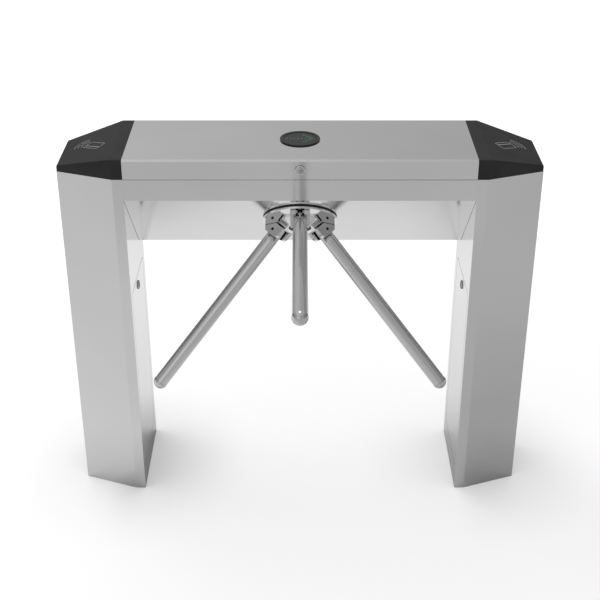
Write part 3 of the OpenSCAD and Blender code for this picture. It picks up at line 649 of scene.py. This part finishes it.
def make_piece(name: str, parts: Sequence[Surface], material: bpy.types.Material, body: str,
               smooth: bool = True) -> None:
    """Puts closed surfaces into one mesh that rides on a body.

    Args:
        name: The piece's name.
        parts: The surfaces.
        material: The finish.
        body: The CAD body that carries it.
        smooth: Shades it smooth.
    """
    starts = np.cumsum([0] + [len(points) for points, _ in parts[:-1]])
    points = np.vstack([points for points, _ in parts])
    faces = np.vstack([faces + start for (_, faces), start in zip(parts, starts)])
    mesh = bpy.data.meshes.new(name)
    mesh.from_pydata(points.tolist(), [], faces.tolist())
    shape = bmesh.new()
    shape.from_mesh(mesh)
    bmesh.ops.remove_doubles(shape, verts=shape.verts, dist=MERGE_REACH)
    bmesh.ops.dissolve_degenerate(shape, edges=shape.edges, dist=SHORTEST_EDGE)
    bmesh.ops.recalc_face_normals(shape, faces=shape.faces)
    shape.to_mesh(mesh)
    shape.free()
    mesh.polygons.foreach_set("use_smooth", np.full(len(mesh.polygons), smooth))
    mesh.materials.append(material)
    piece = add_object(name, mesh)
    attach(piece, body)
    LOG.info("new piece %s: %d faces in %s on %s", name, len(mesh.polygons), material.name, body)


def dress(nodes: Sequence[str], material: bpy.types.Material) -> None:
    """Gives CAD nodes a finish.

    Args:
        nodes: The nodes' names.
        material: The finish.
    """
    for node in nodes:
        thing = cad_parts[node]
        if not thing.material_slots:
            thing.data.materials.append(material)
        for place in thing.material_slots:
            place.material = material
        LOG.info("piece %s: in %s", node, material.name)


# ---- sub-assemblies

@dataclass
class Casing:
    """Legs, bridge, lid and doors in satin stainless sheet, with their plates and fasteners."""

    upright: SteelFinish = SteelFinish("satin_upright", grey(0.78), 0.17, grain=Grain.HEIGHT,
                                       crevice=0.0015)
    level: SteelFinish = SteelFinish("satin_level", grey(0.78), 0.11, grain=Grain.LANE,
                                     crevice=0.0015)
    plate: SteelFinish = SteelFinish("zinc_plate", (0.50, 0.51, 0.53), 0.38, spread=0.07)
    rubber: MouldedFinish = MouldedFinish("black_rubber", grey(0.018), grey(0.03), 0.7)

    def build(self) -> None:
        """Dresses the sheet, the base plates, the fasteners that join them and the seals."""
        dress(["left_leg_shell", "right_leg_shell", "left_door", "right_door"],
              self.upright.build())
        dress(["bridge_body", "bridge_ends", "bridge_rim", "lid"], self.level.build())
        dress(["left_base_plate", "right_base_plate", "door_hinge_pins", "join_bolts",
               "lid_hinge_pins"], self.plate.build())
        # black rubber; in the hub seal the black is also painted shadow, for the gap under the hub's
        # flange
        dress(["lid_gasket", "hub_seal"], self.rubber.build())


@dataclass
class EndCaps:
    """Black caps over card readers, with a plain reader sign on each slope.

    The sign is a card's outline with a stripe across it, and three arcs that spread from the card's
    end. It is drawn about the card's middle, moved back by sign_shift, and turned on the slope by
    sign_turn, which is in degrees. The slope falls by fall over fall_run, from ridge_x outward.
    """

    moulding: MouldedFinish = MouldedFinish("cap_black", (0.018, 0.018, 0.019),
                                            (0.026, 0.026, 0.027), 0.45, specular=0.25)
    ink: MouldedFinish = MouldedFinish("sign_ink", grey(0.42), grey(0.5), 0.5, depth=0.00002)
    centre_x: float = 0.525
    ridge_x: float = 0.461
    top_z: float = 0.980
    fall: float = 0.035
    fall_run: float = 0.139
    line: float = 0.0016
    rise: float = 0.0003
    card_w: float = 0.050
    card_h: float = 0.032
    card_r: float = 0.005
    corner_steps: int = 7
    stripe_y: float = 0.006
    stripe_w: float = 0.046
    stripe_share: float = 1.5
    stripe_steps: int = 5
    wave_x: float = 0.014
    wave_radii: tuple[float, ...] = (0.024, 0.033, 0.042)
    wave_half: float = 0.72
    wave_steps: int = 21
    sign_shift: float = 0.012
    sign_turn: float = 38.0

    def card(self) -> Points:
        """The card's outline: four quarter circles about the corners of a smaller rectangle.

        Returns:
            Points (x, y) of a closed line.
        """
        start = np.arange(4)[:, None] * np.pi / 2
        turn = start + np.linspace(0, np.pi / 2, self.corner_steps)
        way = np.sign(np.stack([np.cos(start + np.pi / 4), np.sin(start + np.pi / 4)], -1))
        inner = np.array([self.card_w / 2 - self.card_r, self.card_h / 2 - self.card_r])
        arc = self.card_r * np.stack([np.cos(turn), np.sin(turn)], -1)
        return (way * inner + arc).reshape(-1, 2)

    def stripe(self) -> Points:
        """The stripe's straight line across the card, as points (x, y)."""
        x = np.linspace(-self.stripe_w / 2, self.stripe_w / 2, self.stripe_steps)
        return np.stack([x, np.full(len(x), self.stripe_y)], -1)

    def wave(self, radius: float) -> Points:
        """An arc of a radius about a point near the card's end, as points (x, y)."""
        turn = np.linspace(-self.wave_half, self.wave_half, self.wave_steps)
        return np.stack([self.wave_x + radius * np.cos(turn), radius * np.sin(turn)], -1)

    def sign(self, side: int) -> list[Surface]:
        """The sign's bars on one slope.

        Args:
            side: -1 for the left cap and 1 for the right one.

        Returns:
            The surface of each bar.
        """
        bars = [ribbon(self.card(), self.line, self.rise, closed=True)]
        bars += [ribbon(self.wave(radius), self.line, self.rise, closed=False)
                 for radius in self.wave_radii]
        bars.append(ribbon(self.stripe(), self.line * self.stripe_share, self.rise, closed=False))
        slope = self.fall / self.fall_run
        outward = np.array([side, 0.0, -slope]) / math.hypot(side, slope)
        turn = math.radians(self.sign_turn)
        along = math.cos(turn) * outward + math.sin(turn) * np.array([0.0, 1.0, 0.0])
        height = self.top_z - slope * (self.centre_x - self.ridge_x)
        seat = Seat((side * self.centre_x, 0.0, height), tuple(along), (side * slope, 0.0, 1.0))
        return [seat.carry((points - [self.sign_shift, 0, 0], faces)) for points, faces in bars]

    def build(self) -> None:
        """Dresses the caps and readers and adds both signs."""
        dress(["left_cap", "right_cap", "card_readers"], self.moulding.build())
        ink = self.ink.build()
        for side, word in ((-1, "left"), (1, "right")):
            make_piece(f"{word}_reader_sign", self.sign(side), ink, "frame",
                       smooth=False)


@dataclass
class Indicator:
    """Round indicator on the lid with a dark window and an arrow of lamps."""

    bezel: MouldedFinish = MouldedFinish("bezel_black", (0.018, 0.019, 0.019),
                                         (0.024, 0.025, 0.025), 0.28, specular=0.24)
    window: MouldedFinish = MouldedFinish("window_dark", (0.018, 0.019, 0.019),
                                          (0.022, 0.023, 0.023), 0.2, grain=60.0, depth=0.00001,
                                          specular=0.22)
    lamp: LampFinish = LampFinish("lamp_green", (0.06, 0.36, 0.12), 0.25)

    def build(self) -> None:
        """Dresses bezel, window and lamps."""
        dress(["indicator_bezel"], self.bezel.build())
        dress(["indicator_window"], self.window.build())
        dress(["indicator_lamps"], self.lamp.build())


@dataclass(frozen=True)
class LockSeat:
    """Where a lock's rim sits, and the body that carries it."""

    lock: str
    body: str
    seat: Seat


@dataclass
class Locks:
    """Three round locks, each with a rolled bright rim round its face."""

    chrome: SteelFinish = SteelFinish("lock_chrome", grey(0.80), 0.08, spread=0.02, edge=0.0003)
    rim_r: float = 0.0106
    rim_half: float = 0.0013
    rim_flat: float = 0.8
    face: float = 0.0025
    section_steps: int = 16
    turn_steps: int = 64
    seats: tuple[LockSeat, ...] = (
        LockSeat("lid_lock", "lid_panel",
                 Seat((0.0, -0.140, 0.9545), (1, 0, 0), (0, -1, 0))),
        LockSeat("left_lock", "left_door_leaf",
                 Seat((-0.431, -0.006, 0.571), (0, 0, 1), (1, 0, 0))),
        LockSeat("right_lock", "right_door_leaf",
                 Seat((0.431, -0.006, 0.571), (0, 0, 1), (-1, 0, 0))),
    )

    def rim(self) -> Surface:
        """A rolled rim: a flattened circle of the half width carried round the rim's radius.

        Returns:
            Points and faces about the lock's own axis.
        """
        turn = np.linspace(0, 2 * np.pi, self.section_steps + 1)
        section = np.stack([self.rim_r + self.rim_half * np.cos(turn),
                            self.face + self.rim_half * self.rim_flat * np.sin(turn)], -1)
        return revolve(section, self.turn_steps)

    def build(self) -> None:
        """Dresses the locks and adds the rims."""
        chrome = self.chrome.build()
        dress(["left_lock_body", "right_lock_body", "lid_lock_body", "left_lock_cam",
               "right_lock_cam", "lid_lock_cam"], chrome)
        for place in self.seats:
            make_piece(f"{place.lock}_rim", [place.seat.carry(self.rim())], chrome, place.body)


@dataclass
class Hub:
    """Flange, core, forks and arms in polished stainless steel."""

    mirror: SteelFinish = SteelFinish("hub_polish", grey(0.86), 0.07, spread=0.02, edge=0.0008,
                                      crevice=0.0025)
    cheek: SteelFinish = SteelFinish("fork_polish", grey(0.80), 0.09, spread=0.02, crevice=0.0025)
    # painted shade: the front fork has the side forks' polished steel in a darker colour, for the
    # shade on it
    front: SteelFinish = SteelFinish("front_fork_shaded_polish", grey(0.56), 0.09, spread=0.02,
                                     crevice=0.0025)
    tube: SteelFinish = SteelFinish("arm_polish", grey(0.68), 0.09, lines=700.0)
    fixing: SteelFinish = SteelFinish("bolt_dark", (0.09, 0.09, 0.095), 0.4, edge=0.0003)
    plug: MouldedFinish = MouldedFinish("plug_black", (0.014, 0.014, 0.015), (0.02, 0.02, 0.021),
                                        0.5)

    def build(self) -> None:
        """Dresses everything that turns with the arms."""
        dress(["hub_flange", "hub_core"], self.mirror.build())
        dress(["left_fork", "right_fork"], self.cheek.build())
        dress(["front_fork"], self.front.build())
        dress(["front_arm_root", "left_arm_root", "right_arm_root", "front_arm", "left_arm",
               "right_arm", "arm_tips"], self.tube.build())
        dress(["core_bolt", "fork_bolts", "fork_screws"], self.fixing.build())
        # black plastic for plug, bushes and sensor disc; in the plug and the fork bushes the black is
        # also painted shade, for the gaps in the fork slots and the recess at the core's end
        dress(["hub_plug", "fork_bushes", "sensor_disc"], self.plug.build())


@dataclass
class DriveUnit:
    """Bearing housing, shaft, gears, motor and sensors behind the sloping panel.

    The hub's axis passes through apex along axis. The motor lies beside it at motor_x, between
    motor_front and motor_end along the same direction.
    """

    cast: SteelFinish = SteelFinish("cast_alloy", (0.55, 0.56, 0.57), 0.45, spread=0.08,
                                    lines=1500.0, depth=0.0001)
    ground: SteelFinish = SteelFinish("ground_steel", (0.56, 0.56, 0.57), 0.25, spread=0.06)
    paint: MouldedFinish = MouldedFinish("motor_black", (0.02, 0.02, 0.022), (0.03, 0.03, 0.032),
                                         0.4)
    axis: Vector = (0.0, -0.70710678, -0.70710678)
    apex: Vector = (0.0, -0.0219129, 0.8181391)
    motor_x: float = 0.090
    motor_r: float = 0.035
    motor_front: float = -0.028
    motor_end: float = 0.030
    rib_count: int = 7
    rib_inset: float = 0.014
    rib_sink: float = 0.0005
    rib_root: float = 0.0004
    rib_height: float = 0.0024
    rib_steps: int = 72

    def ribs(self) -> Surface:
        """Cooling ribs: a square wave of the radius along the motor, closed inside and turned.

        Returns:
            Points and faces about the motor's axis.
        """
        edges = np.linspace(self.motor_front + self.rib_inset, self.motor_end - self.rib_inset,
                            2 * self.rib_count)
        root, top = self.motor_r + self.rib_root, self.motor_r + self.rib_height
        wave = np.stack([np.tile([root, top, top, root], self.rib_count), np.repeat(edges, 2)], -1)
        inside = self.motor_r - self.rib_sink
        loop = np.vstack([wave, [inside, edges[-1]], [inside, edges[0]], wave[:1]])
        return revolve(loop, self.rib_steps)

    def build(self) -> None:
        """Dresses the drive and adds the motor's ribs."""
        dress(["bearing_housing"], self.cast.build())
        dress(["housing_nuts", "bearing_outer_rings", "bearing_inner_rings", "bearing_balls",
               "bearing_clips", "main_shaft", "drive_gear", "gear_key", "shaft_nut",
               "motor_pinion"], self.ground.build())
        paint = self.paint.build()
        dress(["drive_motor", "position_sensors"], paint)
        seat = Seat((self.motor_x, self.apex[1], self.apex[2]), (1, 0, 0), self.axis)
        make_piece("motor_ribs", [seat.carry(self.ribs())], paint, "frame",
                   smooth=False)


@dataclass(frozen=True)
class Chip:
    """A component on the board: its place from the board's middle and its size."""

    x: float
    z: float
    size: Vector


@dataclass
class Electronics:
    """Control board and power supply on the bridge's back wall."""

    mask: BoardFinish = BoardFinish("board_green", (0.02, 0.16, 0.06), (0.016, 0.136, 0.048),
                                    (0.12, 0.34, 0.14))
    case: SteelFinish = SteelFinish("supply_case", (0.62, 0.62, 0.63), 0.35, spread=0.06)
    plastic: MouldedFinish = MouldedFinish("chip_black", (0.012, 0.012, 0.013), grey(0.02), 0.45)
    board_x: float = -0.31032
    board_y: float = 0.1284
    board_z: float = 0.815
    chip_sink: float = 0.0005
    chip_power: float = 0.22
    chip_steps: int = 24
    chips: tuple[Chip, ...] = (
        Chip(-0.02, 0.012, (0.030, 0.004, 0.030)),
        Chip(0.035, 0.020, (0.022, 0.004, 0.014)),
        Chip(0.035, -0.010, (0.018, 0.004, 0.012)),
        Chip(-0.058, 0.030, (0.016, 0.012, 0.018)),
        Chip(-0.058, -0.004, (0.016, 0.010, 0.018)),
        Chip(0.0, -0.042, (0.096, 0.010, 0.010)),
    )

    def component(self, chip: Chip) -> Surface:
        """A rounded block whose back is sunk a little into the board's face.

        Args:
            chip: The component.

        Returns:
            Points and faces in the part's frame.
        """
        points, faces = rounded_block(chip.size, self.chip_power, self.chip_steps)
        middle_y = self.board_y - chip.size[1] / 2 + self.chip_sink
        return points + [self.board_x + chip.x, middle_y, self.board_z + chip.z], faces

    def build(self) -> None:
        """Dresses the boards and adds the board's components."""
        dress(["control_board"], self.mask.build())
        dress(["power_supply"], self.case.build())
        make_piece("board_components", [self.component(chip) for chip in self.chips],
                   self.plastic.build(), "frame")


# ---- studio

@dataclass(frozen=True)
class SoftStep:
    """A change from one level to another, with soft ends, while a value passes through a span."""

    span: Span
    levels: Span

    def at(self, tree: Tree, value: Socket) -> Socket:
        """The level at a value."""
        return ranged(tree, value, self.span, self.levels, Ends.SOFT)


@dataclass(frozen=True)
class Glow:
    """A soft round patch of light that polished metal sees in one direction.

    The step runs over the cosine of the angle from the patch's middle.
    """

    toward: Vector
    step: SoftStep

    def at(self, tree: Tree, direction: Socket) -> Socket:
        """The patch's light in a direction.

        Args:
            tree: The world's tree.
            direction: The unit direction.

        Returns:
            The light's socket.
        """
        cosine = add_node(tree, "VectorMath", {0: direction, 1: self.toward})
        cosine.operation = "DOT_PRODUCT"
        return self.step.at(tree, cosine.outputs["Value"])


@dataclass(frozen=True)
class Floor:
    """A pale floor that the camera, polished metal and all other rays each see in their own way.

    The floor is matt and darker near the feet. The lee is the strength of this contact shadow, and
    it is greater on the right of each foot. The camera also sees a fill that rises with the
    distance from the part, so that the floor fades to white. Polished metal sees an even, dimmer
    matt floor with a light of its own: glow gives the light's level at places along Y, from the
    viewer's side to the far side. In front of the part the light leans from left to right, and
    shade takes some of it away on the right, under the part and behind it.
    """

    half: float = 30.0
    matt: float = 0.9
    matt_mirrored: float = 0.35
    contact_reach: float = 0.28
    contact_mirrored: float = 2.4
    lee: float = 0.4
    left_lee_begins: SoftStep = SoftStep((-0.55, -0.43), (0.0, 1.0))
    left_lee_ends: SoftStep = SoftStep((-0.1, 0.1), (1.0, 0.0))
    right_lee: SoftStep = SoftStep((0.42, 0.5), (0.0, 0.6))
    fill: SoftStep = SoftStep((0.9, 3.4), (0.39, 0.7))
    glow: tuple[Span, ...] = ((-2.4, 0.285), (-1.5, 0.33), (-0.7, 0.36), (0.0, 0.46), (0.2, 0.53),
                              (0.33, 0.59), (1.2, 0.67), (1.8, 0.58), (4.0, 0.2))
    lean: SoftStep = SoftStep((-0.5, 0.5), (0.2, -0.2))
    lean_begins: SoftStep = SoftStep((-2.0, -1.4), (0.0, 1.0))
    lean_ends: SoftStep = SoftStep((-0.1, 0.3), (1.0, 0.0))
    shade: SoftStep = SoftStep((-0.9, -0.25), (0.0, -0.28))
    shade_begins: SoftStep = SoftStep((0.3, 0.7), (0.0, 1.0))

    def lee_at(self, tree: Tree, x: Socket) -> Socket:
        """The lee at a place along X.

        Args:
            tree: The floor's tree.
            x: The place.

        Returns:
            The lee's socket.
        """
        left = combined(tree, Way.PRODUCT, self.left_lee_begins.at(tree, x),
                        self.left_lee_ends.at(tree, x))
        return combined(tree, Way.SUM, left, self.right_lee.at(tree, x), self.lee)

    def glow_at(self, tree: Tree, y: Socket) -> Socket:
        """The glow at a place along Y, with straight steps between the levels given.

        Args:
            tree: The floor's tree.
            y: The place.

        Returns:
            The glow's socket.
        """
        near, far = self.glow[0][0], self.glow[-1][0]
        ramp = add_node(tree, "ValToRGB", {"Fac": ranged(tree, y, (near, far), SHARE_SPAN)})
        stops = ramp.color_ramp.elements
        for place, _ in self.glow[1:-1]:
            stops.new((place - near) / (far - near))
        for stop, (_, level) in zip(stops, self.glow):
            stop.color = (*grey(level), 1.0)
        return ramp.outputs["Color"]

    def mirrored(self, tree: Tree, x: Socket, y: Socket, contact: Socket) -> Socket:
        """The floor's light for polished metal.

        It is the glow, times the sum of 1, the lean and the shade, times the contact shadow.

        Args:
            tree: The floor's tree.
            x: The place along X.
            y: The place along Y.
            contact: The contact shadow, 1 where there is none.

        Returns:
            The light's socket.
        """
        lean = combined(tree, Way.PRODUCT, self.lean_begins.at(tree, y), self.lean_ends.at(tree, y),
                        self.lean.at(tree, x))
        shade = combined(tree, Way.PRODUCT, self.shade.at(tree, y), self.shade_begins.at(tree, x))
        sides = combined(tree, Way.SUM, lean, 1.0, shade)
        return combined(tree, Way.PRODUCT, self.glow_at(tree, y),
                        combined(tree, Way.PRODUCT, sides, contact))

    def finish(self) -> bpy.types.Material:
        """Makes the floor's material.

        Returns:
            The material.
        """
        material = bpy.data.materials.new("studio_floor")
        tree = empty_tree(material)
        rays = add_node(tree, "LightPath").outputs
        place = add_node(tree, "TexCoord").outputs["Object"]
        axes = add_node(tree, "SeparateXYZ", {"Vector": place}).outputs
        apart = add_node(tree, "VectorMath", {0: place})
        apart.operation = "LENGTH"
        near = openness(tree, self.contact_reach)
        lee = self.lee_at(tree, axes["X"])
        matt = combined(tree, Way.PRODUCT, combined(tree, Way.POWER, near, lee), self.matt)
        deep = combined(tree, Way.POWER, near,
                        combined(tree, Way.PRODUCT, lee, self.contact_mirrored))
        shown = combined(tree, Way.PRODUCT, rays["Is Camera Ray"],
                         self.fill.at(tree, apart.outputs["Value"]))
        mirrored = combined(tree, Way.PRODUCT, rays["Is Glossy Ray"],
                            self.mirrored(tree, axes["X"], axes["Y"], deep))
        colour = mixed(tree, Mixture.NUMBERS, rays["Is Glossy Ray"], matt, self.matt_mirrored)
        light = combined(tree, Way.SUM, shown, mirrored)
        surface = add_node(tree, "AddShader", {
            0: add_node(tree, "BsdfDiffuse", {"Color": colour}).outputs["BSDF"],
            1: add_node(tree, "Emission", {"Strength": light}).outputs["Emission"],
        })
        add_node(tree, "OutputMaterial", {"Surface": surface.outputs["Shader"]})
        return material

    def build(self) -> None:
        """Adds the floor, which belongs to the stage and not to the part."""
        h = self.half
        mesh = bpy.data.meshes.new("floor")
        mesh.from_pydata([(-h, -h, 0), (h, -h, 0), (h, h, 0), (-h, h, 0)], [], [(0, 1, 2, 3)])
        mesh.materials.append(self.finish())
        ground = add_object("floor", mesh)


@dataclass(frozen=True)
class Room:
    """White behind the part, plain light on matt surfaces, and a graded room in polished metal.

    The room's wall leans from left to right and falls off at both sides. It is darker low down at
    the rear and lighter near the ceiling, and the glows are added to it.
    """

    white: float = 1.0
    plain: float = 0.60
    wall: SoftStep = SoftStep((-0.25, 0.25), (0.565, 0.435))
    wall_sides: SoftStep = SoftStep((0.62, 0.86), (1.0, 0.66))
    low: SoftStep = SoftStep((0.02, 0.30), (-0.85, 0.0))
    low_rear: SoftStep = SoftStep((-0.3, 0.35), (0.0, 1.0))
    ceiling: SoftStep = SoftStep((0.6, 0.95), (1.0, 1.2))
    front_glow: Glow = Glow((-0.33, -0.89, 0.31), SoftStep((0.95, 0.99), (0.0, 0.17)))
    top_glow: Glow = Glow((0.0, 0.15, 0.989), SoftStep((0.972, 0.988), (0.0, 1.3)))

    def mirrored(self, tree: Tree) -> Socket:
        """The room's light for polished metal, by direction.

        Args:
            tree: The world's tree.

        Returns:
            The light's socket.
        """
        direction = add_node(tree, "TexCoord").outputs["Generated"]
        axes = add_node(tree, "SeparateXYZ", {"Vector": direction}).outputs
        sideways = add_node(tree, "Math", {0: axes["X"]})
        sideways.operation = "ABSOLUTE"
        wall = combined(tree, Way.PRODUCT, self.wall.at(tree, axes["X"]),
                        self.wall_sides.at(tree, sideways.outputs["Value"]))
        low = combined(tree, Way.PRODUCT, self.low.at(tree, axes["Z"]),
                       self.low_rear.at(tree, axes["Y"]))
        height = combined(tree, Way.PRODUCT, combined(tree, Way.SUM, low, 1.0),
                          self.ceiling.at(tree, axes["Z"]))
        room = combined(tree, Way.PRODUCT, wall, height)
        return combined(tree, Way.SUM, self.front_glow.at(tree, direction),
                        self.top_glow.at(tree, direction), room)

    def build(self) -> None:
        """Makes the world and picks what each kind of ray sees of it."""
        world = bpy.data.worlds.new("studio")
        bpy.context.scene.world = world
        tree = empty_tree(world)
        rays = add_node(tree, "LightPath").outputs
        plain, room, white = (
            add_node(tree, "Background", {"Color": grey(1.0), "Strength": strength}).outputs[0]
            for strength in (self.plain, self.mirrored(tree), self.white))
        lit = add_node(tree, "MixShader", {0: rays["Is Glossy Ray"], 1: plain, 2: room})
        seen = add_node(tree, "MixShader", {0: rays["Is Camera Ray"], 1: lit.outputs[0], 2: white})
        add_node(tree, "OutputWorld", {"Surface": seen.outputs[0]})


@dataclass(frozen=True)
class Lamp:
    """A square lamp that polished metal doesn't mirror."""

    name: str
    place: Vector
    aim: Vector
    size: float
    watts: float

    def build(self) -> None:
        """Hangs the lamp at its place and turns it towards its aim."""
        data = bpy.data.lights.new(self.name, "AREA")
        data.size, data.energy = self.size, self.watts
        thing = add_object(self.name, data)
        thing.visible_glossy = False
        thing.location = self.place
        x, y, z = np.array(self.aim) - np.array(self.place)
        thing.rotation_euler = (math.atan2(math.hypot(x, y), -z), 0.0, math.atan2(-x, y))


@dataclass(frozen=True)
class Camera:
    """The photograph's camera; tilt is in degrees below level, lens and sensor in millimetres."""

    place: Vector = (0.0, -2.8226, 2.0673)
    tilt: float = 28.72
    lens: float = 71.81
    sensor: float = 36.0
    far: float = 200.0

    def build(self) -> None:
        """Adds the camera and makes it the scene's."""
        data = bpy.data.cameras.new("camera")
        data.lens, data.sensor_width, data.clip_end = self.lens, self.sensor, self.far
        thing = add_object("camera", data)
        thing.location = self.place
        thing.rotation_euler = (math.pi / 2 - math.radians(self.tilt), 0.0, 0.0)
        bpy.context.scene.camera = thing


@dataclass
class Studio:
    """The floor, the room, one lamp and the camera."""

    floor: Floor = Floor()
    room: Room = Room()
    key: Lamp = Lamp("key", (-2.5, 2.0, 4.0), (0.0, 0.0, 0.4), 3.6, 46.0)
    camera: Camera = Camera()

    def build(self) -> None:
        """Sets up floor, room, lamp, camera and view transform."""
        for part in (self.floor, self.room, self.key, self.camera):
            part.build()
        bpy.context.scene.view_settings.view_transform = "Standard"


def main() -> None:
    """Builds the sub-assemblies in order, then the studio."""
    logging.basicConfig(level=logging.INFO, format="%(name)s: %(message)s")
    for part in (Casing(), EndCaps(), Indicator(), Locks(), Hub(), DriveUnit(), Electronics(),
                 Studio()):
        part.build()
        LOG.info("built %s", type(part).__name__)


if __name__ == "__main__":
    main()
